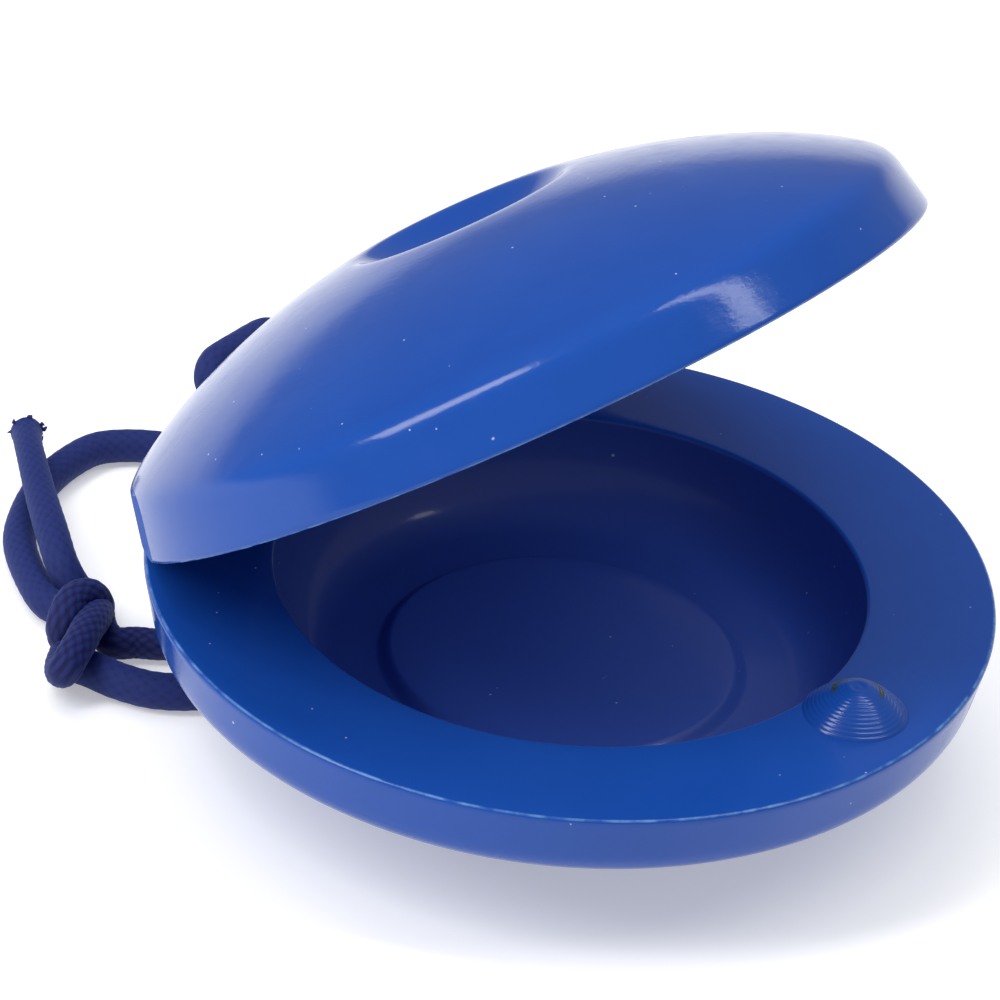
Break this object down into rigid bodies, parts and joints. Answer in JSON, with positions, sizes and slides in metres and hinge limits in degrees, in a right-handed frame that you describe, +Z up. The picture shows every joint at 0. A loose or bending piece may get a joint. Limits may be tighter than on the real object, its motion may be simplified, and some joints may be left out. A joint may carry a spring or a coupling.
{
  "type": "finger castanets",
  "caption": "Two round cupped shells laced together at the rear by a knotted elastic cord; each has a finger dimple outside, and the lower one a small striking nub at the front edge.",
  "frame": {"origin": "middle of the two shells' footprint, on the surface that the lower shell's finger dimple stands on", "axes": "+Z up, normal to the lower shell's striking face; +X from the hinge towards the striking nub; Y along the hinge line"},
  "size_m": [0.0757, 0.0574, 0.0461],
  "materials": {
    "shell_plastic": "moulded, lightly worn gloss",
    "braided_elastic": "round braided elastic cord"
  },
  "bodies": {
    "lower_shell": {"lower_shell": "shell_plastic", "cord_loop": "braided_elastic", "cord_lead": "braided_elastic", "cord_knot": "braided_elastic", "tail_long": "braided_elastic", "tail_short": "braided_elastic"},
    "upper_shell": {"upper_shell": "shell_plastic", "cord_bridge": "braided_elastic"}
  },
  "joints": [
    {"name": "shell_hinge", "type": "hinge", "parent": "lower_shell", "child": "upper_shell", "pos_m": [-0.02189, 0, 0.01211], "axis": [0, 1, 0], "range_deg": [0, 35], "stiffness_Nm_per_rad": 0.012, "springref_deg": -20.05}
  ]
}
